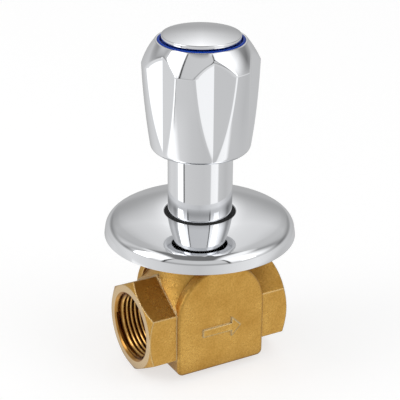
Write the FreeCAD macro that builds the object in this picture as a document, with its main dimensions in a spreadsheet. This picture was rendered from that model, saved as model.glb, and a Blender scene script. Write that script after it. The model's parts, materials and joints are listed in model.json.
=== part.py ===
# Concealed stop valve: brass body with two threaded ports, screw-down headwork,
# chromed sleeve, sliding wall flange and fluted turning handle.
# Millimetres. The flow runs along X, the spindle stands on Z, the front faces -Y.
# The origin is on the spindle axis, level with the lowest edges of the port hexagons.

import FreeCAD, Part

import math
import os

import Sketcher

doc = FreeCAD.newDocument("StopValve")

# Driving dimensions

SIZES = [
    ("hex_flats", "34", "across the flats of the port hexagons"),
    ("port_reach", "31.1", "spindle axis to each port face"),
    ("port_face_radius", "16.9", "turned face at the end of a port"),
    ("port_turn_angle", "32", "slope of the turned corners from the port face"),
    ("port_bore_radius", "13.22", "root radius of the port thread"),
    ("port_mouth_radius", "14.1", "countersunk mouth of the port"),
    ("port_thread_depth", "15", "port face to the end of the thread"),
    ("waterway_radius", "6.2", "passages from the ports to the seat"),
    ("waterway_offset", "6.8", "passage axes below and above the flow axis"),
    ("inlet_passage_reach", "6.3", "end of the lower passage past the spindle axis"),
    ("middle_margin", "0.6", "how far the middle stands proud of the port flats"),
    ("pad_half_width", "19.3", "front pad, half its width"),
    ("pad_reach", "18.4", "spindle axis to the pad faces"),
    ("pad_thickness", "4", "thickness of the pads above the middle"),
    ("pad_foot", "17", "flow axis down to the foot of the pads"),
    ("pad_arch_rise", "7.5", "flow axis up to the centre of the pad arch"),
    ("pad_corner_radius", "2.5", "lower corners of the pads"),
    ("pad_edge_radius", "1.3", "rounding around the pad faces"),
    ("neck_radius", "15.5", "outside of the neck"),
    ("neck_rise", "30", "flow axis to the top of the neck"),
    ("flare_top_rise", "26.5", "flow axis to the top of the neck's flare"),
    ("flare_foot_rise", "11.5", "flow axis to the foot of the flare"),
    ("flare_foot_radius", "24.5", "foot of the flare"),
    ("flare_curve", "45", "hollow curve of the flare"),
    ("neck_bore_radius", "11.9", "thread bore for the bonnet"),
    ("neck_mouth_chamfer", "0.7", "chamfer at the mouth of the neck"),
    ("chamber_radius", "11", "chamber above the seat"),
    ("chamber_floor", "3", "chamber floor above the flow axis"),
    ("seat_lip_height", "1.5", "raised seat above the chamber floor"),
    ("seat_lip_width", "1.4", "radial width of the seat"),
    ("arrow_height", "0.5", "raised flow arrow on the front pad"),
    ("arrow_length", "17", "flow arrow from tail to tip"),
    ("arrow_shaft", "3.2", "width of the arrow's shaft"),
    ("arrow_head", "8.4", "width of the arrow's head"),
    ("gasket_thickness", "1", "flat gasket under the bonnet"),
    ("gasket_width", "2.9", "radial width of the gasket"),
    ("bonnet_thread_length", "12.5", "bonnet below the top of the neck"),
    ("bonnet_flats", "28", "across the flats of the bonnet hexagon"),
    ("bonnet_hex_height", "6", "height of the bonnet hexagon"),
    ("bonnet_barrel_height", "12", "barrel that centres the sleeve"),
    ("bonnet_neck_radius", "8.4", "bonnet above its barrel"),
    ("bonnet_neck_height", "12", "bonnet above its barrel, height"),
    ("thread_gap", "0.05", "radial gap between screwed pieces"),
    ("loose_gap", "0.1", "radial gap around a loose piece or a running thread"),
    ("barrel_gap", "0.3", "radial gap between the bonnet barrel and the sleeve"),
    ("running_gap", "0.05", "radial gap between turning pieces"),
    ("seal_gap", "0.03", "radial gap left around a seal"),
    ("plunger_flats", "14", "across the flats of the plunger"),
    ("plunger_gap", "0.1", "gap between the plunger and its guide, each side"),
    ("plunger_length", "16", "hexagonal part of the plunger"),
    ("plunger_head_radius", "9.8", "head that carries the seat washer"),
    ("plunger_head_height", "3.5", "thickness of the head above the washer"),
    ("plunger_skirt", "2", "skirt around the seat washer"),
    ("plunger_thread_radius", "5", "thread bore in the plunger"),
    ("plunger_floor", "2.5", "plunger head up to the bottom of its thread bore"),
    ("seat_washer_radius", "8.7", "rubber seat washer"),
    ("seat_washer_thickness", "3", "rubber seat washer"),
    ("washer_plate_radius", "4.5", "retaining plate under the seat washer"),
    ("washer_plate_thickness", "0.8", "retaining plate"),
    ("washer_screw_radius", "1.5", "screw of the retaining plate"),
    ("washer_screw_length", "7.5", "screw of the retaining plate, under the head"),
    ("washer_screw_head_radius", "2.7", "its head"),
    ("washer_screw_head_height", "1.4", "its head"),
    ("screw_slot_width", "0.8", "driving slot of the small screw"),
    ("screw_end_room", "0.5", "room past the end of the small screw"),
    ("spindle_radius", "4", "stem of the spindle"),
    ("spindle_thread_length", "14", "threaded foot of the spindle"),
    ("spindle_collar_radius", "6.6", "collar under the bonnet shoulder"),
    ("spindle_collar_height", "3", "collar under the bonnet shoulder"),
    ("spindle_top_gap", "2", "seat of the handle screw down to the top of the spindle"),
    ("spindle_top_chamfer", "0.5", "chamfer at the top of the spindle"),
    ("spindle_foot_chamfer", "1", "chamfer at the foot of the spindle"),
    ("spline_length", "14", "splined top of the spindle"),
    ("spline_count", "12", "number of splines"),
    ("spline_width", "0.9", "width of a spline groove"),
    ("spline_depth", "0.5", "depth of a spline groove"),
    ("spline_gap", "0.06", "gap around each spline"),
    ("oring_wire", "1.04", "thickness of the spindle O-rings"),
    ("oring_groove_depth", "1.03", "grooves in the spindle"),
    ("oring_groove_width", "1.4", "grooves in the spindle"),
    ("lower_oring_rise", "7", "bonnet shoulder to the lower O-ring"),
    ("upper_oring_rise", "15", "bonnet shoulder to the upper O-ring"),
    ("thrust_washer_thickness", "0.8", "washer on top of the bonnet"),
    ("thrust_washer_radius", "6.6", "washer on top of the bonnet"),
    ("circlip_thickness", "1", "retaining clip of the spindle"),
    ("circlip_radius", "6", "outside of the clip"),
    ("circlip_groove_depth", "0.8", "groove of the clip"),
    ("circlip_mouth", "4.4", "width of the clip's opening"),
    ("sleeve_radius", "12.6", "chromed sleeve"),
    ("sleeve_wall", "1", "chromed sleeve"),
    ("sleeve_entry", "7.5", "foot of the handle up to the top of the sleeve"),
    ("sleeve_hole_radius", "5.4", "hole in the closed top of the sleeve"),
    ("sleeve_edge_radius", "0.8", "rounded top edge of the sleeve"),
    ("sleeve_seal_wire", "1.6", "thickness of the sleeve O-ring"),
    ("sleeve_seal_rise", "6", "sleeve foot to the middle of its O-ring"),
    ("sleeve_seal_groove_width", "2.1", "groove in the bonnet barrel"),
    ("flange_radius", "37.5", "wall flange"),
    ("flange_rise", "34.7", "flow axis to the rim of the flange"),
    ("flange_sheet", "1", "thickness of the flange"),
    ("flange_corner_height", "5.75", "rim to the corner of the skirt before rounding"),
    ("flange_corner_radius", "4.5", "rounded shoulder of the flange"),
    ("flange_dome_radius", "80", "curvature of the flange's dome"),
    ("flange_hole_radius", "13.9", "hole for the sleeve"),
    ("flange_hole_height", "9.3", "rim to the edge of the hole"),
    ("flange_lip_radius", "0.45", "rounded edge of the hole"),
    ("grip_ring_gap", "0.05", "gap around the rubber ring"),
    ("grip_ring_height", "2.8", "rubber ring inside the flange hole"),
    ("grip_ring_foot_width", "2.7", "foot of the rubber ring under the sheet"),
    ("grip_ring_foot_height", "1.6", "foot of the rubber ring under the sheet"),
    ("grip_ring_drop", "0.4", "top of the rubber ring below the hole's edge"),
    ("handle_rise", "70.5", "flow axis to the foot of the handle"),
    ("handle_foot_radius", "19.05", "handle at its foot before rounding"),
    ("handle_foot_edge", "2.4", "rounding of the foot"),
    ("handle_radius", "22.5", "widest part of the handle"),
    ("handle_height", "43.3", "foot to the top of the crown"),
    ("handle_crown_height", "8.4", "widest part to the top of the crown"),
    ("handle_crown_radius", "17.3", "top of the crown"),
    ("handle_side_bulge", "320", "curvature of the handle's side"),
    ("handle_crown_bulge", "40", "curvature of the crown"),
    ("handle_shoulder_edge", "1", "rounding between side and crown"),
    ("handle_crown_edge", "0.5", "rounding at the top of the crown"),
    ("groove_count", "6", "finger grooves"),
    ("groove_radius", "19.5", "spindle axis to the bottom of a groove"),
    ("groove_half_angle", "78.7", "half the opening of a groove"),
    ("groove_turn", "15", "first groove, degrees right of the handle's front"),
    ("handle_turn", "-30", "how far the closed handle is turned from the valve's front"),
    ("handle_cavity_radius", "14.6", "hollow of the handle around the sleeve"),
    ("crown_thickness", "9.3", "floor of the crown's recess down to the roof of the hollow"),
    ("boss_radius", "9.6", "boss inside the handle"),
    ("bush_radius", "6.8", "splined bush"),
    ("bush_length", "14.5", "splined bush"),
    ("bush_knurl_count", "18", "knurls around the bush"),
    ("bush_knurl_depth", "0.3", "knurls around the bush"),
    ("boss_shelf", "3", "material between the bush and the screw's seat"),
    ("shelf_hole_radius", "4.5", "hole in that shelf"),
    ("recess_radius", "16.5", "recess in the crown"),
    ("recess_depth", "4", "recess in the crown"),
    ("screw_well_radius", "6", "well for the head of the handle screw"),
    ("screw_well_depth", "4.3", "depth of that well under the recess"),
    ("handle_screw_radius", "2", "handle screw"),
    ("handle_screw_length", "14", "handle screw under its head"),
    ("handle_screw_head_radius", "4.6", "its head"),
    ("handle_screw_head_height", "2.6", "its head"),
    ("handle_screw_head_edge", "0.85", "rounded edge of its head"),
    ("screw_cross_width", "1", "cross recess of the handle screw"),
    ("screw_cross_length", "4.6", "cross recess of the handle screw"),
    ("screw_cross_depth", "1.55", "cross recess of the handle screw"),
    ("spring_washer_radius", "4.8", "spring washer"),
    ("spring_washer_thickness", "0.9", "spring washer"),
    ("spring_washer_split", "0.7", "split of the spring washer"),
    ("ring_radius", "16.44", "index ring"),
    ("ring_bore_radius", "13.1", "index ring"),
    ("ring_height", "4.2", "index ring"),
    ("ring_edge_radius", "0.35", "rounded edge of the index ring"),
    ("cap_radius", "15.05", "cap"),
    ("cap_edge_height", "1.35", "edge of the cap"),
    ("cap_crown_height", "0.75", "how far the cap's face is domed"),
    ("cap_edge_radius", "0.35", "rounded edge of the cap"),
    ("cap_gap", "0.4", "gap between the cap and the index ring"),
    ("cap_plug_radius", "12.9", "plug under the cap"),
    ("cap_plug_wall", "1.5", "wall of the plug"),
]

sheet = doc.addObject("Spreadsheet::Sheet", "Sizes")
for row, (alias, number, note) in enumerate(SIZES, start=1):
    sheet.set(f"A{row}", note)
    sheet.set(f"B{row}", number)
    sheet.setAlias(f"B{row}", alias)
doc.recompute()

# Heights and radii that follow from the driving dimensions.
# Heights are above the base, apart from those that say otherwise.

HEX_CORNER = "Sizes.hex_flats / 2 / cos(30)"
AXIS = f"({HEX_CORNER})"
MIDDLE_SIDE = "(Sizes.pad_reach - Sizes.pad_thickness / 2)"
MIDDLE_RIDGE = "((Sizes.hex_flats / 2 + Sizes.middle_margin) / cos(30))"
SEAT = f"({AXIS} + Sizes.chamber_floor + Sizes.seat_lip_height)"
NECK_TOP = f"({AXIS} + Sizes.neck_rise)"
BONNET_SEAT = f"({NECK_TOP} + Sizes.gasket_thickness)"
BONNET_HEX_TOP = f"({BONNET_SEAT} + Sizes.bonnet_hex_height)"
BONNET_TOP = f"({BONNET_HEX_TOP} + Sizes.bonnet_barrel_height + Sizes.bonnet_neck_height)"
BONNET_BORE = "(Sizes.spindle_radius + Sizes.running_gap)"
SLEEVE_BORE = "(Sizes.sleeve_radius - Sizes.sleeve_wall)"
BARREL_RADIUS = f"({SLEEVE_BORE} - Sizes.barrel_gap)"
HEAD_SEAT = f"({SEAT} + Sizes.seat_washer_thickness)"
HANDLE_FOOT = f"({AXIS} + Sizes.handle_rise)"
CROWN_TOP = f"({HANDLE_FOOT} + Sizes.handle_height)"
RECESS_FLOOR = f"({CROWN_TOP} - Sizes.recess_depth)"
SHELF_TOP = f"({RECESS_FLOOR} - Sizes.screw_well_depth)"
BUSH_FOOT = f"({SHELF_TOP} - Sizes.boss_shelf - Sizes.bush_length)"
SPINDLE_TOP = f"({SHELF_TOP} - Sizes.spindle_top_gap)"
SLEEVE_TOP = f"({HANDLE_FOOT} + Sizes.sleeve_entry)"
CAP_FOOT = f"({RECESS_FLOOR} + Sizes.ring_height + Sizes.cap_gap)"
FLANGE_HOLE_EDGE = f"({AXIS} + Sizes.flange_rise + Sizes.flange_hole_height)"

# How far a cutter runs past the surface it cuts, and how near counts as the same place
CLEAR = "2"
TOUCH = 1e-4


def number(expression):
    """The value in millimetres of an expression on the sheet."""
    value = sheet.evalExpression(expression)
    return float(getattr(value, "Value", value))


def new_body(label, height="0"):
    """An empty body whose own origin stands at a height on the spindle axis."""
    body = doc.addObject("PartDesign::Body", label)
    body.Label = label
    body.setExpression("Placement.Base.z", height)
    return body


def new_sketch(body, plane, offset="0"):
    """A sketch on one of the body's own planes, moved along the plane's normal."""
    sketch = body.newObject("Sketcher::SketchObject", f"{body.Label}_sketch")
    origin_plane = [part for part in body.Origin.OriginFeatures if part.Role == plane][0]
    sketch.AttachmentSupport = (origin_plane, [""])
    sketch.MapMode = "FlatFace"
    sketch.setExpression("AttachmentOffset.Base.z", offset)
    return sketch


def bind(sketch, constraint, name, expression):
    """Adds a named dimension and ties it to the sheet."""
    index = sketch.addConstraint(constraint)
    sketch.renameConstraint(index, name)
    sketch.setExpression(f"Constraints.{name}", expression)


def arc_between(start, end, radius, turn):
    """An arc from start to end that turns left (1) or right (-1) on its way."""
    chord = end - start
    half = chord.Length / 2
    rise = math.sqrt(max(radius * radius - half * half, 0))
    left = FreeCAD.Vector(-chord.y, chord.x, 0).normalize()
    centre = (start + end) * 0.5 + left * (rise * turn)
    angles = [math.atan2(point.y - centre.y, point.x - centre.x) for point in (start, end)]
    if turn < 0:
        angles.reverse()
    circle = Part.Circle(centre, FreeCAD.Vector(0, 0, 1), radius)
    return Part.ArcOfCircle(circle, angles[0], angles[1])


def draw(sketch, corners):
    """A closed outline. Each corner is (x, y), or (x, y, radius, turn) where an arc arrives."""
    mark = sketch.GeometryCount
    points = [FreeCAD.Vector(number(corner[0]), number(corner[1]), 0) for corner in corners]
    ends = []
    for index, corner in enumerate(corners):
        start, end = points[index - 1], points[index]
        if len(corner) == 2:
            edge = sketch.addGeometry(Part.LineSegment(start, end))
            ends.append((edge, 1, 2))
            continue
        radius, turn = corner[2], corner[3]
        edge = sketch.addGeometry(arc_between(start, end, number(radius), turn))
        ends.append((edge, 1, 2) if turn > 0 else (edge, 2, 1))
        constraint = Sketcher.Constraint("Radius", edge, number(radius))
        bind(sketch, constraint, f"radius_{mark + index}", radius)
    for index, corner in enumerate(corners):
        edge, _, arrival = ends[index]
        following, departure, _ = ends[(index + 1) % len(corners)]
        sketch.addConstraint(Sketcher.Constraint("Coincident", edge, arrival, following, departure))
        for axis, kind in enumerate(("DistanceX", "DistanceY")):
            value = points[index][axis]
            constraint = Sketcher.Constraint(kind, -1, 1, edge, arrival, value)
            bind(sketch, constraint, f"{kind.lower()}_{mark + index}", corner[axis])


def draw_circle(sketch, radius, across="0", along="0"):
    """A circle with its centre at (across, along)."""
    mark = sketch.GeometryCount
    centre = FreeCAD.Vector(number(across), number(along), 0)
    circle = Part.Circle(centre, FreeCAD.Vector(0, 0, 1), number(radius))
    edge = sketch.addGeometry(circle)
    bind(sketch, Sketcher.Constraint("Radius", edge, number(radius)), f"radius_{mark}", radius)
    for axis, kind, place in ((0, "DistanceX", across), (1, "DistanceY", along)):
        constraint = Sketcher.Constraint(kind, -1, 1, edge, 3, centre[axis])
        bind(sketch, constraint, f"{kind.lower()}_{mark}", place)


def draw_hexagon(sketch, flats, first_corner=0):
    """A hexagon around the sketch's origin, by the width across its flats."""
    corners = []
    for turn in range(6):
        angle = first_corner + 60 * turn
        corners.append((f"{flats} / 2 / cos(30) * cos({angle})",
                        f"{flats} / 2 / cos(30) * sin({angle})"))
    draw(sketch, corners)


def feature(body, kind, sketch, **settings):
    """A sketch-based feature of a body, with plain settings."""
    made = body.newObject(f"PartDesign::{kind}", f"{body.Label}_{kind.lower()}")
    made.Profile = sketch
    for name, value in settings.items():
        setattr(made, name, value)
    sketch.Visibility = False
    return made


def pad(body, sketch, length, **settings):
    made = feature(body, "Pad", sketch, **settings)
    made.setExpression("Length", length)
    return made


def pocket(body, sketch, length, **settings):
    made = feature(body, "Pocket", sketch, **settings)
    made.setExpression("Length", length)
    return made


def turn_solid(body, corners):
    """Adds the solid of an outline (radius, height) turned around the spindle axis."""
    sketch = new_sketch(body, "XZ_Plane")
    draw(sketch, corners)
    return feature(body, "Revolution", sketch, ReferenceAxis=(sketch, ["V_Axis"]), Angle=360)


def turn_hollow(body, corners):
    """Cuts the space of an outline (radius, height) turned around the spindle axis."""
    sketch = new_sketch(body, "XZ_Plane")
    draw(sketch, corners)
    return feature(body, "Groove", sketch, ReferenceAxis=(sketch, ["V_Axis"]), Angle=360)


def around(body, original, count):
    """Repeats a feature evenly around the spindle axis."""
    pattern = body.newObject("PartDesign::PolarPattern", f"{body.Label}_pattern")
    pattern.Originals = [original]
    axis = [part for part in body.Origin.OriginFeatures if part.Role == "Z_Axis"][0]
    pattern.Axis = (axis, [""])
    pattern.Angle = 360
    pattern.setExpression("Occurrences", count)
    body.Tip = pattern
    return pattern


def soften(body, base, radius, wanted, kind="Fillet"):
    """Rounds or chamfers the edges of a feature that the test picks out."""
    doc.recompute()
    names = [f"Edge{index}" for index, edge in enumerate(base.Shape.Edges, start=1) if wanted(edge)]
    made = body.newObject(f"PartDesign::{kind}", f"{body.Label}_{kind.lower()}")
    made.Base = (base, names)
    made.setExpression("Radius" if kind == "Fillet" else "Size", radius)
    return made


def circle_at(*spots):
    """A test for whole circles by radius and height."""
    targets = [(number(radius), number(height)) for radius, height in spots]

    def wanted(edge):
        if edge.Degenerated or not isinstance(edge.Curve, Part.Circle):
            return False
        place = (edge.Curve.Radius, edge.Curve.Center.z)
        return any(math.dist(place, target) < TOUCH for target in targets)

    return wanted


def ring(label, height, bore, outer, thickness):
    """A plain flat ring."""
    body = new_body(label, height)
    turn_solid(body, [(bore, "0"), (outer, "0"), (outer, thickness), (bore, thickness)])
    return body


def seal_ring(label, height, middle_radius, wire):
    """A round rubber ring, by the radius of its middle line and its thickness."""
    made = doc.addObject("Part::Torus", label)
    made.Label = label
    made.setExpression("Radius1", middle_radius)
    made.setExpression("Radius2", f"{wire} / 2")
    made.setExpression("Placement.Base.z", height)
    return made


# Valve body, with heights in its own frame measured from the flow axis

def port_corner_cutter(side):
    """Outline, turned around the flow axis, that takes the corners off one port."""
    reach = f"{side} * Sizes.port_reach"
    outside = f"({HEX_CORNER} + {CLEAR})"
    slope = f"({outside} - Sizes.port_face_radius) / tan(90 - Sizes.port_turn_angle)"
    return [(reach, "Sizes.port_face_radius"), (reach, outside),
            (f"{side} * (Sizes.port_reach - {slope})", outside)]


def port_bore_outline(side):
    """Outline, turned around the flow axis, of one port's bore and countersink."""
    face = f"{side} * Sizes.port_reach"
    sink = f"{side} * (Sizes.port_reach - (Sizes.port_mouth_radius - Sizes.port_bore_radius))"
    end = f"{side} * (Sizes.port_reach - Sizes.port_thread_depth)"
    return [(face, "0"), (face, "Sizes.port_mouth_radius"), (sink, "Sizes.port_bore_radius"),
            (end, "Sizes.port_bore_radius"), (end, "0")]


def pad_outline():
    """Arched outline of the front and rear pads."""
    half, foot = "Sizes.pad_half_width", "Sizes.pad_foot"
    corner, rise = "Sizes.pad_corner_radius", "Sizes.pad_arch_rise"
    return [(f"{corner} - {half}", f"-{foot}", corner, 1),
            (f"{half} - {corner}", f"-{foot}"),
            (half, f"{corner} - {foot}", corner, 1),
            (half, rise),
            ("0", f"{rise} + {half}", half, 1),
            (f"-{half}", rise, half, 1),
            (f"-{half}", f"{corner} - {foot}")]


def flow_arrow_outline():
    """Arrow that points from the inlet to the outlet."""
    tail, tip = "-Sizes.arrow_length / 2", "Sizes.arrow_length / 2"
    neck = "(Sizes.arrow_length / 2 - Sizes.arrow_head / 2)"
    shaft, head = "Sizes.arrow_shaft / 2", "Sizes.arrow_head / 2"
    return [(tail, f"-{shaft}"), (neck, f"-{shaft}"), (neck, f"-{head}"), (tip, "0"),
            (neck, head), (neck, shaft), (tail, shaft)]


def make_neck(body):
    """Neck with its flared foot, cut to the length and width of the middle of the body."""
    neck, top = "Sizes.neck_radius", "Sizes.neck_rise"
    foot, low = "Sizes.flare_foot_radius", "Sizes.flare_foot_rise"
    turn_solid(body, [("0", "0"), (foot, "0"), (foot, low),
                      (neck, "Sizes.flare_top_rise", "Sizes.flare_curve", -1), (neck, top), ("0", top)])
    sketch = new_sketch(body, "XY_Plane")
    outside = f"({foot} + {CLEAR})"
    for across, along in ((outside, outside), ("Sizes.pad_half_width", MIDDLE_SIDE)):
        draw(sketch, [(f"-{across}", f"-{along}"), (across, f"-{along}"),
                      (across, along), (f"-{across}", along)])
    pocket(body, sketch, top, Reversed=True)


def make_pads(body):
    """Front and rear pads, rounded around their faces."""
    for offset in ("Sizes.pad_reach - Sizes.pad_thickness", "-Sizes.pad_reach"):
        sketch = new_sketch(body, "XZ_Plane", offset)
        draw(sketch, pad_outline())
        pads = pad(body, sketch, "Sizes.pad_thickness")
    reach = number("Sizes.pad_reach")

    def on_pad_face(edge):
        box = edge.BoundBox
        return box.YLength < TOUCH and abs(abs(box.YMin) - reach) < TOUCH

    soften(body, pads, "Sizes.pad_edge_radius", on_pad_face)


def make_middle(body):
    """Middle of the body between the pads: a foot with rounded corners under a ridged roof."""
    half, foot, corner = "Sizes.pad_half_width", "Sizes.pad_foot", "Sizes.pad_corner_radius"
    eaves = f"({MIDDLE_RIDGE} - {MIDDLE_SIDE} * tan(30))"
    sketch = new_sketch(body, "XZ_Plane")
    draw(sketch, [(f"{corner} - {half}", f"-{foot}", corner, 1), (f"{half} - {corner}", f"-{foot}"),
                  (half, f"{corner} - {foot}", corner, 1), (half, eaves),
                  (f"-{half}", eaves), (f"-{half}", f"{corner} - {foot}")])
    pad(body, sketch, f"2 * {MIDDLE_SIDE}", Midplane=True)
    sketch = new_sketch(body, "YZ_Plane")
    draw(sketch, [(f"-{MIDDLE_SIDE}", "0"), (MIDDLE_SIDE, "0"), (MIDDLE_SIDE, eaves),
                  ("0", MIDDLE_RIDGE), (f"-{MIDDLE_SIDE}", eaves)])
    pad(body, sketch, f"2 * {half}", Midplane=True)


def make_ports(body):
    """Hexagonal ends with turned corners."""
    sketch = new_sketch(body, "YZ_Plane")
    draw_hexagon(sketch, "Sizes.hex_flats", 30)
    pad(body, sketch, "2 * Sizes.port_reach", Midplane=True)
    for side in ("-1", "1"):
        sketch = new_sketch(body, "XZ_Plane")
        draw(sketch, port_corner_cutter(side))
        feature(body, "Groove", sketch, ReferenceAxis=(sketch, ["H_Axis"]), Angle=360)


def make_valve_body():
    body = new_body("valve_body", AXIS)
    make_neck(body)
    make_pads(body)
    make_middle(body)
    make_ports(body)

    sketch = new_sketch(body, "XZ_Plane", "Sizes.pad_reach")
    draw(sketch, flow_arrow_outline())
    pad(body, sketch, "Sizes.arrow_height")

    for side in ("-1", "1"):
        sketch = new_sketch(body, "XZ_Plane")
        draw(sketch, port_bore_outline(side))
        feature(body, "Groove", sketch, ReferenceAxis=(sketch, ["H_Axis"]), Angle=360)

    hole, lip = "Sizes.waterway_radius", "(Sizes.waterway_radius + Sizes.seat_lip_width)"
    floor, top = "Sizes.chamber_floor", "(Sizes.chamber_floor + Sizes.seat_lip_height)"
    thread = "(Sizes.neck_rise - Sizes.bonnet_thread_length)"
    mouth = "Sizes.neck_rise - Sizes.neck_mouth_chamfer"
    wide = "Sizes.neck_bore_radius + Sizes.neck_mouth_chamfer"
    turn_hollow(body, [("0", "-Sizes.waterway_offset"), (hole, "-Sizes.waterway_offset"),
                       (hole, top), (lip, top), (lip, floor), ("Sizes.chamber_radius", floor),
                       ("Sizes.chamber_radius", thread), ("Sizes.neck_bore_radius", thread),
                       ("Sizes.neck_bore_radius", mouth), (wide, "Sizes.neck_rise"),
                       ("0", "Sizes.neck_rise")])

    into_port = f"(Sizes.port_reach - Sizes.port_thread_depth + {CLEAR})"
    sketch = new_sketch(body, "YZ_Plane", f"-{into_port}")
    draw_circle(sketch, "Sizes.waterway_radius", "0", "-Sizes.waterway_offset")
    pocket(body, sketch, f"{into_port} + Sizes.inlet_passage_reach", Reversed=True)

    sketch = new_sketch(body, "YZ_Plane", into_port)
    draw_circle(sketch, "Sizes.waterway_radius", "0", "Sizes.waterway_offset")
    pocket(body, sketch, f"{into_port} - {lip}")
    return body


# Headwork: what turns or slides between the body and the handle

def make_bonnet():
    body = new_body("bonnet", BONNET_SEAT)
    foot = "(-Sizes.gasket_thickness - Sizes.bonnet_thread_length)"
    outer = "(Sizes.neck_bore_radius - Sizes.thread_gap)"
    hexagon = "Sizes.bonnet_hex_height"
    barrel = f"({hexagon} + Sizes.bonnet_barrel_height)"
    top = f"({barrel} + Sizes.bonnet_neck_height)"
    groove = f"({SLEEVE_BORE} - Sizes.sleeve_seal_wire - 2 * Sizes.seal_gap)"
    middle = f"({hexagon} + Sizes.sleeve_seal_rise)"
    low = f"({middle} - Sizes.sleeve_seal_groove_width / 2)"
    high = f"({middle} + Sizes.sleeve_seal_groove_width / 2)"
    turn_solid(body, [("0", foot), (outer, foot), (outer, hexagon), (BARREL_RADIUS, hexagon),
                      (BARREL_RADIUS, low), (groove, low), (groove, high), (BARREL_RADIUS, high),
                      (BARREL_RADIUS, barrel), ("Sizes.bonnet_neck_radius", barrel),
                      ("Sizes.bonnet_neck_radius", top), ("0", top)])
    sketch = new_sketch(body, "XY_Plane")
    draw_hexagon(sketch, "Sizes.bonnet_flats")
    pad(body, sketch, "Sizes.bonnet_hex_height")
    corner = "Sizes.bonnet_flats / 2 / cos(30)"
    outside = f"({corner} + {CLEAR})"
    turn_hollow(body, [("Sizes.bonnet_flats / 2", hexagon), (outside, hexagon),
                       (outside, f"{hexagon} - ({outside} - Sizes.bonnet_flats / 2) * tan(30)")])
    turn_hollow(body, [("0", foot), (BONNET_BORE, foot), (BONNET_BORE, top), ("0", top)])
    shoulder = "Sizes.bonnet_hex_height"
    turn_hollow(body, [("0", f"{shoulder} - Sizes.spindle_collar_height"),
                       ("Sizes.spindle_collar_radius + Sizes.running_gap",
                        f"{shoulder} - Sizes.spindle_collar_height"),
                       ("Sizes.spindle_collar_radius + Sizes.running_gap", shoulder),
                       ("0", shoulder)])
    sketch = new_sketch(body, "XY_Plane", foot)
    draw_hexagon(sketch, "(Sizes.plunger_flats + 2 * Sizes.plunger_gap)")
    pocket(body, sketch, f"{shoulder} - Sizes.spindle_collar_height - {foot}", Reversed=True)
    return body


def make_spindle():
    """Stem with its collar, clip and O-ring grooves; heights from the bonnet shoulder."""
    body = new_body("spindle", BONNET_HEX_TOP)
    stem = "Sizes.spindle_radius"
    collar = "(-Sizes.spindle_collar_height + Sizes.running_gap)"
    foot = "(-Sizes.spindle_collar_height - Sizes.spindle_thread_length)"
    screw = "(Sizes.plunger_thread_radius - Sizes.loose_gap)"
    point = "Sizes.spindle_foot_chamfer"
    outline = [("0", foot), (f"{screw} - {point}", foot), (screw, f"{foot} + {point}"), (screw, collar),
               ("Sizes.spindle_collar_radius", collar), ("Sizes.spindle_collar_radius", "0"),
               (stem, "0")]
    grooves = [(f"{rise} - Sizes.oring_groove_width / 2", f"{rise} + Sizes.oring_groove_width / 2",
                "Sizes.oring_groove_depth") for rise in ("Sizes.lower_oring_rise", "Sizes.upper_oring_rise")]
    clip = f"({BONNET_TOP} - {BONNET_HEX_TOP} + Sizes.thrust_washer_thickness)"
    grooves.append((clip, f"{clip} + Sizes.circlip_thickness + Sizes.running_gap",
                    "Sizes.circlip_groove_depth"))
    for low, high, depth in grooves:
        outline += [(stem, low), (f"{stem} - {depth}", low), (f"{stem} - {depth}", high), (stem, high)]
    top, edge = f"({SPINDLE_TOP} - {BONNET_HEX_TOP})", "Sizes.spindle_top_chamfer"
    outline += [(stem, f"{top} - {edge}"), (f"{stem} - {edge}", top), ("0", top)]
    turn_solid(body, outline)

    hole = "(Sizes.handle_screw_radius + Sizes.thread_gap)"
    bottom = f"({top} - Sizes.handle_screw_length)"
    turn_hollow(body, [("0", bottom), (hole, bottom), (hole, top), ("0", top)])

    sketch = new_sketch(body, "XY_Plane", top)
    half = "Sizes.spline_width / 2"
    bottom, outside = f"({stem} - Sizes.spline_depth)", f"({stem} + {CLEAR})"
    draw(sketch, [(bottom, f"-{half}"), (outside, f"-{half}"), (outside, half), (bottom, half)])
    around(body, pocket(body, sketch, "Sizes.spline_length"), "Sizes.spline_count")
    return body


def make_circlip():
    """Open spring clip in the groove of the spindle."""
    body = new_body("circlip", f"{BONNET_TOP} + Sizes.thrust_washer_thickness")
    bore = "(Sizes.spindle_radius - Sizes.circlip_groove_depth + Sizes.running_gap)"
    turn_solid(body, [(bore, "0"), ("Sizes.circlip_radius", "0"),
                      ("Sizes.circlip_radius", "Sizes.circlip_thickness"),
                      (bore, "Sizes.circlip_thickness")])
    sketch = new_sketch(body, "XY_Plane")
    half = "Sizes.circlip_mouth / 2"
    outside = f"(Sizes.circlip_radius + {CLEAR})"
    draw(sketch, [("0", f"-{half}"), (outside, f"-{half}"), (outside, half), ("0", half)])
    pocket(body, sketch, "Sizes.circlip_thickness", Reversed=True)
    return body


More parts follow.
